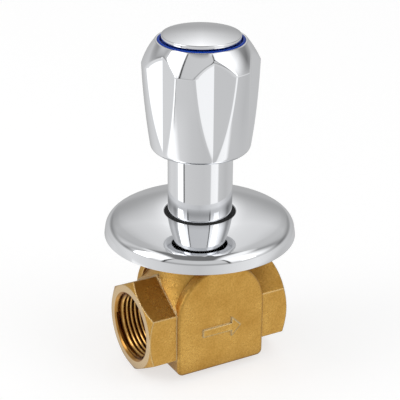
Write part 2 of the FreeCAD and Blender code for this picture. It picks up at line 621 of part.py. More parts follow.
def make_plunger():
    """Hexagonal plunger with the head that holds the seat washer; heights from the head's seat."""
    body = new_body("plunger", HEAD_SEAT)
    head = "Sizes.plunger_head_height"
    turn_solid(body, [("0", "0"), ("Sizes.seat_washer_radius + Sizes.seal_gap", "0"),
                      ("Sizes.seat_washer_radius + Sizes.seal_gap", "-Sizes.plunger_skirt"),
                      ("Sizes.plunger_head_radius", "-Sizes.plunger_skirt"),
                      ("Sizes.plunger_head_radius", head), ("0", head)])
    sketch = new_sketch(body, "XY_Plane", head)
    draw_hexagon(sketch, "Sizes.plunger_flats")
    pad(body, sketch, "Sizes.plunger_length")
    floor = f"({head} + Sizes.plunger_floor)"
    top = f"{head} + Sizes.plunger_length"
    bore = "Sizes.plunger_thread_radius"
    turn_hollow(body, [("0", floor), (bore, floor), (bore, top), ("0", top)])
    hole = "(Sizes.washer_screw_radius + Sizes.thread_gap)"
    depth = ("(Sizes.washer_screw_length + Sizes.screw_end_room"
             " - Sizes.washer_plate_thickness - Sizes.seat_washer_thickness)")
    turn_hollow(body, [("0", "0"), (hole, "0"), (hole, depth), ("0", depth)])
    return body


def make_washer_screw():
    """Cheese-head screw under the retaining plate; heights from the underside of the plate."""
    body = new_body("washer_screw", f"{SEAT} - Sizes.washer_plate_thickness")
    head, shank = "Sizes.washer_screw_head_radius", "Sizes.washer_screw_radius"
    turn_solid(body, [("0", "-Sizes.washer_screw_head_height"), (head, "-Sizes.washer_screw_head_height"),
                      (head, "0"), (shank, "0"), (shank, "Sizes.washer_screw_length"),
                      ("0", "Sizes.washer_screw_length")])
    sketch = new_sketch(body, "XY_Plane", "-Sizes.washer_screw_head_height")
    half = "Sizes.screw_slot_width / 2"
    outside = f"({head} + {CLEAR})"
    draw(sketch, [(f"-{outside}", f"-{half}"), (outside, f"-{half}"),
                  (outside, half), (f"-{outside}", half)])
    pocket(body, sketch, "Sizes.washer_screw_head_height / 2", Reversed=True)
    return body


def make_headwork():
    gasket_bore = "(Sizes.neck_bore_radius + Sizes.thread_gap)"
    ring("bonnet_gasket", NECK_TOP, gasket_bore, f"{gasket_bore} + Sizes.gasket_width",
         "Sizes.gasket_thickness")
    make_bonnet()
    make_spindle()
    ring("thrust_washer", BONNET_TOP, BONNET_BORE, "Sizes.thrust_washer_radius",
         "Sizes.thrust_washer_thickness")
    make_circlip()
    groove_middle = f"({BONNET_BORE} - Sizes.seal_gap / 2 - Sizes.oring_wire / 2)"
    for label, rise in (("lower_spindle_o_ring", "Sizes.lower_oring_rise"),
                        ("upper_spindle_o_ring", "Sizes.upper_oring_rise")):
        seal_ring(label, f"{BONNET_HEX_TOP} + {rise}", groove_middle, "Sizes.oring_wire")
    make_plunger()
    screw_hole = "(Sizes.washer_screw_radius + Sizes.thread_gap)"
    ring("seat_washer", SEAT, screw_hole, "Sizes.seat_washer_radius", "Sizes.seat_washer_thickness")
    ring("washer_plate", f"{SEAT} - Sizes.washer_plate_thickness", screw_hole,
         "Sizes.washer_plate_radius", "Sizes.washer_plate_thickness")
    make_washer_screw()


# Sleeve and wall flange

def make_sleeve():
    body = new_body("sleeve", BONNET_HEX_TOP)
    outer, hole = "Sizes.sleeve_radius", "Sizes.sleeve_hole_radius"
    top = f"({SLEEVE_TOP} - {BONNET_HEX_TOP})"
    roof = f"({top} - Sizes.sleeve_wall)"
    tube = turn_solid(body, [(SLEEVE_BORE, "0"), (outer, "0"), (outer, top), (hole, top),
                             (hole, roof), (SLEEVE_BORE, roof)])
    soften(body, tube, "Sizes.sleeve_edge_radius", circle_at((outer, top)))
    return body


def make_flange():
    """Domed sheet with a turned-down skirt; heights from the rim."""
    body = new_body("flange", f"{AXIS} + Sizes.flange_rise")
    outer, sheet_wall = "Sizes.flange_radius", "Sizes.flange_sheet"
    inner = f"({outer} - {sheet_wall})"
    corner, hole_edge = "Sizes.flange_corner_height", "Sizes.flange_hole_height"
    hole = "Sizes.flange_hole_radius"
    dome = turn_solid(body, [(outer, "0"), (outer, corner),
                             (hole, hole_edge, "Sizes.flange_dome_radius", 1),
                             (hole, f"{hole_edge} - {sheet_wall}"),
                             (inner, f"{corner} - {sheet_wall}",
                              f"(Sizes.flange_dome_radius - {sheet_wall})", -1),
                             (inner, "0")])
    shoulder = soften(body, dome, "Sizes.flange_corner_radius", circle_at((outer, corner)))
    inside = soften(body, shoulder, "Sizes.flange_corner_radius - Sizes.flange_sheet",
                    circle_at((inner, f"{corner} - {sheet_wall}")))
    soften(body, inside, "Sizes.flange_lip_radius", circle_at((hole, hole_edge)))
    return body


def make_grip_ring():
    """Rubber ring that holds the flange on the sleeve; heights from its top."""
    body = new_body("flange_grip_ring", f"{FLANGE_HOLE_EDGE} - Sizes.grip_ring_drop")
    bore = "(Sizes.sleeve_radius + Sizes.grip_ring_gap)"
    outer = "(Sizes.flange_hole_radius - Sizes.grip_ring_gap)"
    foot = f"({bore} + Sizes.grip_ring_foot_width)"
    low, step = "-Sizes.grip_ring_height", "(-Sizes.grip_ring_height + Sizes.grip_ring_foot_height)"
    turn_solid(body, [(bore, low), (foot, low), (foot, step), (outer, step), (outer, "0"), (bore, "0")])
    return body


def make_cover():
    make_sleeve()
    seal_middle = f"({SLEEVE_BORE} - Sizes.seal_gap - Sizes.sleeve_seal_wire / 2)"
    seal_ring("sleeve_o_ring", f"{BONNET_HEX_TOP} + Sizes.sleeve_seal_rise", seal_middle,
              "Sizes.sleeve_seal_wire")
    make_flange()
    make_grip_ring()


# Handle and what it holds

def groove_outline():
    """V-shaped outline of one finger groove, seen from above."""
    valley, depth = "Sizes.groove_radius", f"(Sizes.handle_radius - Sizes.groove_radius + {CLEAR})"
    mouth = f"{depth} * tan(Sizes.groove_half_angle)"
    angle = "(Sizes.groove_turn - 90)"

    def turned(across, along):
        return (f"({across}) * cos({angle}) - ({along}) * sin({angle})",
                f"({across}) * sin({angle}) + ({along}) * cos({angle})")

    return [turned(valley, "0"), turned(f"{valley} + {depth}", f"-{mouth}"),
            turned(f"{valley} + {depth}", mouth)]


def make_handle():
    """Fluted handle; heights from its foot."""
    body = new_body("handle", HANDLE_FOOT)
    body.setExpression("Placement.Rotation.Angle", "Sizes.handle_turn")
    foot, wide, crown = "Sizes.handle_foot_radius", "Sizes.handle_radius", "Sizes.handle_crown_radius"
    waist, top = "(Sizes.handle_height - Sizes.handle_crown_height)", "Sizes.handle_height"
    shell = turn_solid(body, [("0", "0"), (foot, "0"), (wide, waist, "Sizes.handle_side_bulge", 1),
                              (crown, top, "Sizes.handle_crown_bulge", 1), ("0", top)])
    shell = soften(body, shell, "Sizes.handle_foot_edge", circle_at((foot, "0")))
    shell = soften(body, shell, "Sizes.handle_shoulder_edge", circle_at((wide, waist)))
    shell = soften(body, shell, "Sizes.handle_crown_edge", circle_at((crown, top)))

    sketch = new_sketch(body, "XY_Plane")
    draw(sketch, groove_outline())
    around(body, pocket(body, sketch, top, Reversed=True), "Sizes.groove_count")

    floor = f"({top} - Sizes.recess_depth)"
    cavity, roof = "Sizes.handle_cavity_radius", f"({floor} - Sizes.crown_thickness)"
    seat = f"({floor} - Sizes.screw_well_depth)"
    shelf = f"({seat} - Sizes.boss_shelf)"
    boss, boss_foot = "Sizes.boss_radius", f"({shelf} - Sizes.bush_length)"
    bush = "(Sizes.bush_radius + Sizes.thread_gap)"
    turn_hollow(body, [("0", "0"), (cavity, "0"), (cavity, roof), (boss, roof), (boss, boss_foot),
                       (bush, boss_foot), (bush, shelf), ("Sizes.shelf_hole_radius", shelf),
                       ("Sizes.shelf_hole_radius", seat), ("Sizes.screw_well_radius", seat),
                       ("Sizes.screw_well_radius", floor), ("Sizes.recess_radius", floor),
                       ("Sizes.recess_radius", top), ("0", top)])
    return body


def make_spline_bush():
    """Knurled brass bush whose inner splines engage the spindle."""
    body = new_body("spline_bush", BUSH_FOOT)
    bore = "(Sizes.spindle_radius + Sizes.spline_gap)"
    length = "Sizes.bush_length"
    turn_solid(body, [(bore, "0"), ("Sizes.bush_radius", "0"), ("Sizes.bush_radius", length), (bore, length)])
    engaged = f"({SPINDLE_TOP} - Sizes.spline_length - {BUSH_FOOT} + Sizes.spline_gap)"
    sketch = new_sketch(body, "XY_Plane", engaged)
    half = "(Sizes.spline_width / 2 - Sizes.spline_gap)"
    inner = "(Sizes.spindle_radius - Sizes.spline_depth + Sizes.spline_gap)"
    root = f"({bore} + Sizes.spline_depth)"
    draw(sketch, [(inner, f"-{half}"), (root, f"-{half}"), (root, half), (inner, half)])
    around(body, pad(body, sketch, f"{length} - {engaged}"), "Sizes.spline_count")
    sketch = new_sketch(body, "XY_Plane")
    depth = "Sizes.bush_knurl_depth"
    outside, spread = f"(Sizes.bush_radius + {CLEAR})", f"({depth} + {CLEAR})"
    draw(sketch, [(f"Sizes.bush_radius - {depth}", "0"), (outside, f"-{spread}"), (outside, spread)])
    around(body, pocket(body, sketch, length, Reversed=True), "Sizes.bush_knurl_count")
    return body


def make_handle_screw():
    """Cross-recessed screw that holds the handle on the spindle; heights from under its head."""
    body = new_body("handle_screw", f"{SHELF_TOP} + Sizes.spring_washer_thickness")
    head, shank = "Sizes.handle_screw_head_radius", "Sizes.handle_screw_radius"
    top = "Sizes.handle_screw_head_height"
    screw = turn_solid(body, [("0", "-Sizes.handle_screw_length"), (shank, "-Sizes.handle_screw_length"),
                              (shank, "0"), (head, "0"), (head, top), ("0", top)])
    soften(body, screw, "Sizes.handle_screw_head_edge", circle_at((head, top)))
    half, arm = "Sizes.screw_cross_width / 2", "Sizes.screw_cross_length / 2"
    sketch = new_sketch(body, "XY_Plane", top)
    draw(sketch, [(f"-{arm}", f"-{half}"), (f"-{half}", f"-{half}"), (f"-{half}", f"-{arm}"),
                  (half, f"-{arm}"), (half, f"-{half}"), (arm, f"-{half}"), (arm, half), (half, half),
                  (half, arm), (f"-{half}", arm), (f"-{half}", half), (f"-{arm}", half)])
    pocket(body, sketch, "Sizes.screw_cross_depth")
    return body


def make_spring_washer():
    """Split washer under the head of the handle screw."""
    body = new_body("spring_washer", SHELF_TOP)
    bore = "(Sizes.handle_screw_radius + Sizes.loose_gap)"
    thickness, outer = "Sizes.spring_washer_thickness", "Sizes.spring_washer_radius"
    turn_solid(body, [(bore, "0"), (outer, "0"), (outer, thickness), (bore, thickness)])
    sketch = new_sketch(body, "XY_Plane")
    half = "Sizes.spring_washer_split / 2"
    outside = f"({outer} + {CLEAR})"
    draw(sketch, [("0", f"-{half}"), (outside, f"-{half}"), (outside, half), ("0", half)])
    pocket(body, sketch, thickness, Reversed=True)
    return body


def make_index_ring():
    body = new_body("index_ring", RECESS_FLOOR)
    bore, outer, height = "Sizes.ring_bore_radius", "Sizes.ring_radius", "Sizes.ring_height"
    band = turn_solid(body, [(bore, "0"), (outer, "0"), (outer, height), (bore, height)])
    soften(body, band, "Sizes.ring_edge_radius", circle_at((outer, height)))
    return body


def make_cap():
    """Snap-in cap with a slightly domed face; heights from the underside of its disc."""
    body = new_body("cap", CAP_FOOT)
    plug, wall = "Sizes.cap_plug_radius", "Sizes.cap_plug_wall"
    inner = f"({plug} - {wall})"
    low = "(-Sizes.ring_height - Sizes.cap_gap)"
    edge, rise = "Sizes.cap_edge_height", "Sizes.cap_crown_height"
    rim = "Sizes.cap_radius"
    dome = f"({rim} * {rim} + {rise} * {rise}) / (2 * {rise})"
    face = turn_solid(body, [("0", "0"), (inner, "0"), (inner, low), (plug, low), (plug, "0"),
                             (rim, "0"), (rim, edge), ("0", f"{edge} + {rise}", dome, 1)])
    soften(body, face, "Sizes.cap_edge_radius", circle_at((rim, edge)))
    return body


def make_handle_group():
    make_handle()
    make_spline_bush()
    make_handle_screw()
    make_spring_washer()
    make_index_ring()
    make_cap()


def sub_parts():
    """Every finished piece of the valve, by its label."""
    kinds = ("PartDesign::Body", "Part::Torus")
    return [item for item in doc.Objects if item.TypeId in kinds]


def check_document():
    """Stops on any failed object and on any piece that isn't one sound solid."""
    for item in doc.Objects:
        if {"Invalid", "Error"} & set(item.State):
            raise RuntimeError(f"{item.Label} ({item.Name}) is {item.State}")
    for item in sub_parts():
        shape = item.Shape
        if shape.isNull() or not shape.isValid() or len(shape.Solids) != 1:
            raise RuntimeError(f"{item.Label} has no single valid solid")


make_valve_body()
make_headwork()
make_cover()
make_handle_group()
doc.recompute()
check_document()

os.makedirs("parts", exist_ok=True)
for item in sub_parts():
    item.Shape.exportStep(f"parts/{item.Label}.step")
    print(f"{item.Label:22s} {item.Shape.Volume:10.1f} mm3")
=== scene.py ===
# Concealed stop valve: chromed handle, sleeve and wall flange on a forged brass body.
# Metres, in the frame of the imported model. The flow runs along X, the spindle stands on Z.

import json
import math

import bmesh
import bpy
from mathutils import Matrix, Vector


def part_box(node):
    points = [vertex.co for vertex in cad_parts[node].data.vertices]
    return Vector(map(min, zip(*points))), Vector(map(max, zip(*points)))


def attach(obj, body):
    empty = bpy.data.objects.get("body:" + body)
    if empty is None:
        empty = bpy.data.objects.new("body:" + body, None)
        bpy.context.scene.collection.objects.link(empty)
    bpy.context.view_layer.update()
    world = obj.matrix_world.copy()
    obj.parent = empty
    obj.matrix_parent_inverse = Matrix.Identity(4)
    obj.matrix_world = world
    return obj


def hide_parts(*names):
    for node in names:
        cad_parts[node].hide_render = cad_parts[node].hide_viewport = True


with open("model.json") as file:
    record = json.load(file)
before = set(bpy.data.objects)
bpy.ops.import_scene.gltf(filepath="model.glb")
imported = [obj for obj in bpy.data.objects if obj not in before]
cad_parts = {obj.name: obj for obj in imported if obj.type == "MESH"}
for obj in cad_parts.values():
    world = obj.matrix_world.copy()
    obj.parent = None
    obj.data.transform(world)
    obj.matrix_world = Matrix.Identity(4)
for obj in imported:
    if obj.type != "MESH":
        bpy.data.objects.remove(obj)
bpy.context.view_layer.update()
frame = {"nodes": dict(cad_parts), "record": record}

MM = 0.001
TURN = 2 * math.pi

# Places and sizes: the boxes come from the frame, the height of the flow axis from the part's source

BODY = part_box("valve_body")
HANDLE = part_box("handle")
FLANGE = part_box("flange")
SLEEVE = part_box("sleeve")
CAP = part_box("cap")
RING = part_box("index_ring")
AXIS_HEIGHT = 19.63 * MM
PORT_REACH = BODY[1][0]


# Meshes

def bulged(start, end, radius, steps):
    """Points from start to end along an arc of the given radius that bulges to the right."""
    chord = Vector(end) - Vector(start)
    middle = (Vector(start) + Vector(end)) / 2
    depth = math.sqrt(radius * radius - chord.length_squared / 4)
    centre = middle + Vector((-chord.y, chord.x)).normalized() * depth
    first = math.atan2(start[1] - centre.y, start[0] - centre.x)
    sweep = 2 * math.asin(chord.length / 2 / radius)
    return [(centre.x + radius * math.cos(first + sweep * step / steps),
             centre.y + radius * math.sin(first + sweep * step / steps)) for step in range(steps + 1)]


def rounded(corners, steps=6):
    """An outline whose corners (radius, height, rounding) are rounded."""
    points = []
    count = len(corners)
    for index, corner in enumerate(corners):
        here = Vector(corner[:2])
        rounding = corner[2] if len(corner) > 2 else 0
        if not rounding:
            points.append(tuple(here))
            continue
        before = (Vector(corners[index - 1][:2]) - here).normalized()
        after = (Vector(corners[(index + 1) % count][:2]) - here).normalized()
        half = before.angle(after) / 2
        reach = rounding / math.tan(half)
        centre = here + (before + after).normalized() * rounding / math.sin(half)
        first, last = here + before * reach - centre, here + after * reach - centre
        for step in range(steps + 1):
            spoke = first.lerp(last, step / steps).normalized() * rounding
            points.append(tuple(centre + spoke))
    return points


def finish_mesh(name, mesh, sharp_angle=35):
    """Makes the object of a mesh, smooth apart from its sharp edges."""
    made = bpy.data.objects.new(name, mesh)
    bpy.context.scene.collection.objects.link(made)
    mesh.shade_smooth()
    mesh.set_sharp_from_angle(angle=math.radians(sharp_angle))
    return made


def turned(name, outline, segments=192, closed=True, shape=None, sharp_angle=35):
    """A solid turned around the spindle axis from an outline of (radius, height) in metres.
    shape(index, radius, angle) may change the radius of a point of the outline."""
    work = bmesh.new()
    rings = []
    for index, (radius, height) in enumerate(outline):
        ring = []
        for segment in range(segments):
            angle = TURN * segment / segments
            here = shape(index, radius, angle) if shape else radius
            ring.append(work.verts.new((here * math.cos(angle), here * math.sin(angle), height)))
        rings.append(ring)
    last = len(rings) if closed else len(rings) - 1
    for index in range(last):
        low, high = rings[index], rings[(index + 1) % len(rings)]
        for segment in range(segments):
            beside = (segment + 1) % segments
            work.faces.new((low[segment], low[beside], high[beside], high[segment]))
    bmesh.ops.remove_doubles(work, verts=work.verts, dist=1e-7)
    bmesh.ops.recalc_face_normals(work, faces=work.faces)
    mesh = bpy.data.meshes.new(name)
    work.to_mesh(mesh)
    work.free()
    return finish_mesh(name, mesh, sharp_angle)


# Handle

# A groove is a V of two flat sides; the half angle lies between its bisector and a side, in degrees
GROOVE_COUNT = 6
GROOVE_RADIUS = 19.5 * MM
GROOVE_HALF_ANGLE = 78.7
GROOVE_TURN = -15
GROOVE_ROUNDING = 0.55 * MM
HANDLE_FOOT = 19.05 * MM
HANDLE_WIDEST = 22.5 * MM
WIDEST_HEIGHT = 34.9 * MM
CROWN_RADIUS = 17.3 * MM
SIDE_BULGE = 320 * MM
CROWN_BULGE = 40 * MM
FOOT_TOP = 2.4 * MM
FOOT_ROUNDING = 2.2 * MM
SHOULDER_ROUNDING = 1.1 * MM
RECESS_RADIUS = 16.5 * MM
RECESS_DEPTH = 4 * MM
WELL_RADIUS = 6 * MM
WELL_FOOT = 35 * MM
SCREW_HOLE = 4.5 * MM
BUSH_RADIUS = 6.85 * MM
BUSH_TOP = 32 * MM
HUB_RADIUS = 9.6 * MM
HUB_FOOT = 17.5 * MM
CAVITY_RADIUS = 14.6 * MM
CAVITY_TOP = 30 * MM


def groove_limit(angle):
    """Radius of the grooves' flat sides at an angle around the spindle."""
    spacing = TURN / GROOVE_COUNT
    first = math.radians(GROOVE_TURN - 90)
    away = (angle - first + spacing / 2) % spacing - spacing / 2
    slope = math.tan(math.radians(GROOVE_HALF_ANGLE))
    return GROOVE_RADIUS * slope / (slope * math.cos(away) - abs(math.sin(away)))


def soft_least(first, second, rounding):
    """The lesser of two lengths, rounded where they are nearly equal."""
    blend = max(rounding - abs(first - second), 0) / rounding
    return min(first, second) - blend * blend * rounding / 4


def handle_outline():
    """Closed outline of the handle in its own height; the fluted outside comes first."""
    top = HANDLE[1][2] - HANDLE[0][2]
    side = bulged((HANDLE_FOOT, 0), (HANDLE_WIDEST, WIDEST_HEIGHT), SIDE_BULGE, 90)
    crown = bulged((HANDLE_WIDEST, WIDEST_HEIGHT), (CROWN_RADIUS, top), CROWN_BULGE, 34)
    outside = [point for point in side if point[1] > FOOT_TOP]
    foot = rounded([(CAVITY_RADIUS, 0), (HANDLE_FOOT, 0, FOOT_ROUNDING), outside[0]], 8)
    fluted = foot[1:-1] + outside[:-2]
    shoulder = rounded([outside[-3], (HANDLE_WIDEST, WIDEST_HEIGHT, SHOULDER_ROUNDING), crown[3]], 8)
    fluted += shoulder[1:-1] + crown[4:-1]
    recess_floor = top - RECESS_DEPTH
    inside = rounded([crown[-2], (CROWN_RADIUS, top, 0.3 * MM), (RECESS_RADIUS, top, 0.2 * MM),
                      (RECESS_RADIUS, recess_floor), (WELL_RADIUS, recess_floor),
                      (WELL_RADIUS, WELL_FOOT), (SCREW_HOLE, WELL_FOOT),
                      (SCREW_HOLE, BUSH_TOP), (BUSH_RADIUS, BUSH_TOP),
                      (BUSH_RADIUS, HUB_FOOT), (HUB_RADIUS, HUB_FOOT),
                      (HUB_RADIUS, CAVITY_TOP), (CAVITY_RADIUS, CAVITY_TOP), (CAVITY_RADIUS, 0)], 4)[1:]
    return fluted, fluted + inside


def make_handle(chrome):
    """Fluted handle, hollow below, with a recess for the ring and the cap above."""
    fluted, outline = handle_outline()

    def shape(index, radius, angle):
        if index >= len(fluted):
            return radius
        return soft_least(radius, groove_limit(angle), GROOVE_ROUNDING)

    base = HANDLE[0][2]
    piece = turned("handle_shell", [(radius, base + height) for radius, height in outline],
                   segments=480, shape=shape, sharp_angle=50)
    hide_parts("handle")
    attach(piece, "handle_assembly")
    piece.data.materials.append(chrome)


def make_cap(chrome):
    """Cap with a slightly domed face and a hollow plug under it."""
    plug_depth = 4.6 * MM
    plug_bore = 11.4 * MM
    plug_radius = 12.9 * MM
    disc_foot = CAP[0][2] + plug_depth
    rim = 15.05 * MM
    edge = 1.35 * MM
    rise = 0.75 * MM
    dome = bulged((rim, edge), (0, edge + rise), (rim * rim + rise * rise) / (2 * rise), 40)
    corner = rounded([(rim, 0, 0.15 * MM), (rim, edge, 0.4 * MM), dome[3], (11 * MM, 0)], 6)[:-1]
    outline = [(0, 0), (plug_bore, 0), (plug_bore, -plug_depth), (plug_radius, -plug_depth),
               (plug_radius, 0)]
    outline += corner[:-1] + dome[3:]
    raised = [(radius, disc_foot + height) for radius, height in outline]
    piece = turned("cap_disc", raised, closed=False)
    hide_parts("cap")
    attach(piece, "handle_assembly")
    piece.data.materials.append(chrome)


def make_index_ring(blue):
    """Blue ring whose inner part lies lower, so that its rim shows around the cap."""
    bore = 13.1 * MM
    outer = 16.44 * MM
    low, high = RING[0][2], RING[1][2]
    step = 15.5 * MM
    step_depth = 1.5 * MM
    outline = rounded([(bore, low), (outer, low), (outer, high, 0.35 * MM), (step, high, 0.15 * MM),
                       (step, high - step_depth), (bore, high - step_depth)])
    piece = turned("index_band", outline)
    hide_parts("index_ring")
    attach(piece, "handle_assembly")
    piece.data.materials.append(blue)


# Sleeve and wall flange

def make_sleeve(chrome):
    """Thin tube with an inward end at the top, which has a hole for the spindle."""
    outer = SLEEVE[1][0]
    wall = 1 * MM
    hole = 5.4 * MM
    low, high = SLEEVE[0][2], SLEEVE[1][2]
    outline = rounded([(outer - wall, low), (outer, low, 0.15 * MM), (outer, high, 0.8 * MM), (hole, high),
                       (hole, high - wall), (outer - wall, high - wall)])
    piece = turned("sleeve_tube", outline, segments=256)
    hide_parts("sleeve")
    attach(piece, "valve")
    piece.data.materials.append(chrome)


def make_flange(chrome):
    """Domed sheet with a short skirt that leans in, a rounded shoulder and a hole for the sleeve."""
    outer = FLANGE[1][0]
    sheet = 1 * MM
    hole = 13.9 * MM
    low, high = FLANGE[0][2], FLANGE[1][2]
    corner = low + 5.75 * MM
    lean = 0.8 * MM
    edge = outer - lean
    dome_radius = 80 * MM
    dome = bulged((edge, corner), (hole, high), dome_radius, 48)
    under = bulged((edge - sheet, corner - sheet), (hole, high - sheet), dome_radius - sheet, 48)
    foot = (outer - sheet, low)
    # The shoulder's rounding ends before point 10 of the dome, the lip's begins after the third last
    top = rounded([(outer, low, 0.25 * MM), (edge, corner, 4.5 * MM), dome[10], foot], 14)[:-1]
    inside = rounded([foot, under[10], (edge - sheet, corner - sheet, 3.5 * MM)], 10)
    lip = rounded([dome[-3], (hole, high, 0.45 * MM), (hole, high - sheet, 0.3 * MM), under[-3]], 6)
    outline = top[:-1] + dome[10:-3] + lip
    outline += list(reversed(under[10:-3])) + inside[2:] + [foot]
    piece = turned("flange_plate", outline, segments=288)
    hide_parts("flange")
    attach(piece, "wall_flange")
    piece.data.materials.append(chrome)


# Threads in the ports

THREAD_ROOT = 13.2 * MM
THREAD_MINOR = 12.1 * MM
THREAD_PITCH = 1.814 * MM
THREAD_LENGTH = 14.2 * MM
THREAD_START = 1.3 * MM
THREAD_STEPS = 96
# Half widths of the ridge in pitches, and how far its shoulders lie below its crest
RIDGE_HALF_FOOT = 0.46
RIDGE_HALF_TOP = 0.12
RIDGE_DROP = 0.1 * MM


def make_thread(side, brass):
    """Helical ridge on the wall of one port."""
    name = "outlet_thread" if side > 0 else "inlet_thread"
    turns = THREAD_LENGTH / THREAD_PITCH - 1
    steps = int(turns * THREAD_STEPS)
    shoulder = THREAD_MINOR + RIDGE_DROP
    section = [(THREAD_ROOT, -RIDGE_HALF_FOOT), (shoulder, -RIDGE_HALF_TOP), (THREAD_MINOR, 0),
               (shoulder, RIDGE_HALF_TOP), (THREAD_ROOT, RIDGE_HALF_FOOT)]
    work = bmesh.new()
    rings = []
    for step in range(steps + 1):
        angle = TURN * step / THREAD_STEPS
        fade = min(1, step / THREAD_STEPS * 2, (steps - step) / THREAD_STEPS * 2)
        ring = []
        for radius, offset in section:
            radius = THREAD_ROOT - (THREAD_ROOT - radius) * fade
            along = PORT_REACH - THREAD_START - (step / THREAD_STEPS + offset) * THREAD_PITCH
            ring.append(work.verts.new((side * along, radius * math.cos(angle),
                                        AXIS_HEIGHT + side * radius * math.sin(angle))))
        rings.append(ring)
    for low, high in zip(rings, rings[1:]):
        for place in range(len(section) - 1):
            work.faces.new((low[place], low[place + 1], high[place + 1], high[place]))
        work.faces.new((low[-1], low[0], high[0], high[-1]))
    work.faces.new(rings[0])
    work.faces.new(reversed(rings[-1]))
    bmesh.ops.recalc_face_normals(work, faces=work.faces)
    mesh = bpy.data.meshes.new(name)
    work.to_mesh(mesh)
    work.free()
    piece = finish_mesh(name, mesh, 50)
    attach(piece, "valve")
    piece.data.materials.append(brass)


# Materials

class Graph:
    """Makes and wires the nodes of a material or a world."""

    def __init__(self, tree):
        self.tree = tree
        tree.nodes.clear()

    def node(self, kind, inputs=(), **settings):
        made = self.tree.nodes.new(kind)
        for name, value in settings.items():
            setattr(made, name, value)
        for key, value in dict(inputs).items():
            if isinstance(value, bpy.types.NodeSocket):
                self.tree.links.new(value, made.inputs[key])
            else:
                made.inputs[key].default_value = value
        return made

    def math(self, operation, first, second=0.0, third=0.0):
        return self.node("ShaderNodeMath", {0: first, 1: second, 2: third}, operation=operation).outputs[0]

    def mix(self, factor, first, second):
        made = self.node("ShaderNodeMix", {0: factor, 6: first, 7: second}, data_type="RGBA")
        return made.outputs[2]

    def between(self, value, low, high, start=0.0, end=1.0):
        made = self.node("ShaderNodeMapRange", {0: value, 1: low, 2: high, 3: start, 4: end})
        return made.outputs[0]

    def noise(self, scale, detail=3.0, vector=None, roughness=0.5):
        inputs = {"Scale": scale, "Detail": detail, "Roughness": roughness}
        if vector:
            inputs["Vector"] = vector
        return self.node("ShaderNodeTexNoise", inputs).outputs["Fac"]


def new_material(name):
    material = bpy.data.materials.new(name)
    material.use_nodes = True
    return material, Graph(material.node_tree)


def colour(red, green, blue):
    return (red, green, blue, 1.0)


CHROME = colour(0.87, 0.88, 0.90)
FORGED_DARK = colour(0.65, 0.355, 0.075)
FORGED_LIGHT = colour(0.83, 0.50, 0.13)
GRAIN_DARK = colour(0.40, 0.18, 0.02)
EDGE_HIGHLIGHT = colour(0.98, 0.80, 0.46)
CUT_FACE = colour(0.80, 0.58, 0.32)
BORE_SHADE = colour(0.50, 0.25, 0.06)
NOOK_SHADE = colour(0.20, 0.08, 0.01)
TURNED_DARK = colour(0.62, 0.34, 0.09)
TURNED_LIGHT = colour(0.80, 0.50, 0.17)
THREAD_ROOT_SHADE = colour(0.16, 0.06, 0.01)
WHITE = colour(1, 1, 1)


def close_surface(graph, bsdf):
    graph.node("ShaderNodeOutputMaterial", {"Surface": bsdf.outputs[0]})


def object_place(graph):
    return graph.node("ShaderNodeTexCoord").outputs["Object"]


def along_flow(graph, place):
    """Distance from the spindle along the flow axis."""
    return graph.math("ABSOLUTE", graph.node("ShaderNodeSeparateXYZ", {0: place}).outputs[0])


def flow_radius(graph, place):
    """Distance from the flow axis."""
    parts = graph.node("ShaderNodeSeparateXYZ", {0: place})
    height = graph.math("SUBTRACT", parts.outputs[2], AXIS_HEIGHT)
    across = graph.math("MULTIPLY", parts.outputs[1], parts.outputs[1])
    return graph.math("SQRT", graph.math("MULTIPLY_ADD", height, height, across))


def chrome_material():
    """Bright plating over a polished surface, slightly uneven."""
    material, graph = new_material("chrome_plate")
    place = object_place(graph)
    haze = graph.noise(60.0, 2.0, place)
    rough = graph.between(haze, 0.3, 0.7, 0.035, 0.06)
    ripple = graph.node("ShaderNodeBump", {"Strength": 0.02, "Distance": 0.0005,
                                           "Height": graph.noise(90.0, 1.0, place)})
    bsdf = graph.node("ShaderNodeBsdfPrincipled", {"Base Color": CHROME, "Metallic": 1.0,
                                                   "Roughness": rough, "Normal": ripple.outputs[0]})
    close_surface(graph, bsdf)
    return material


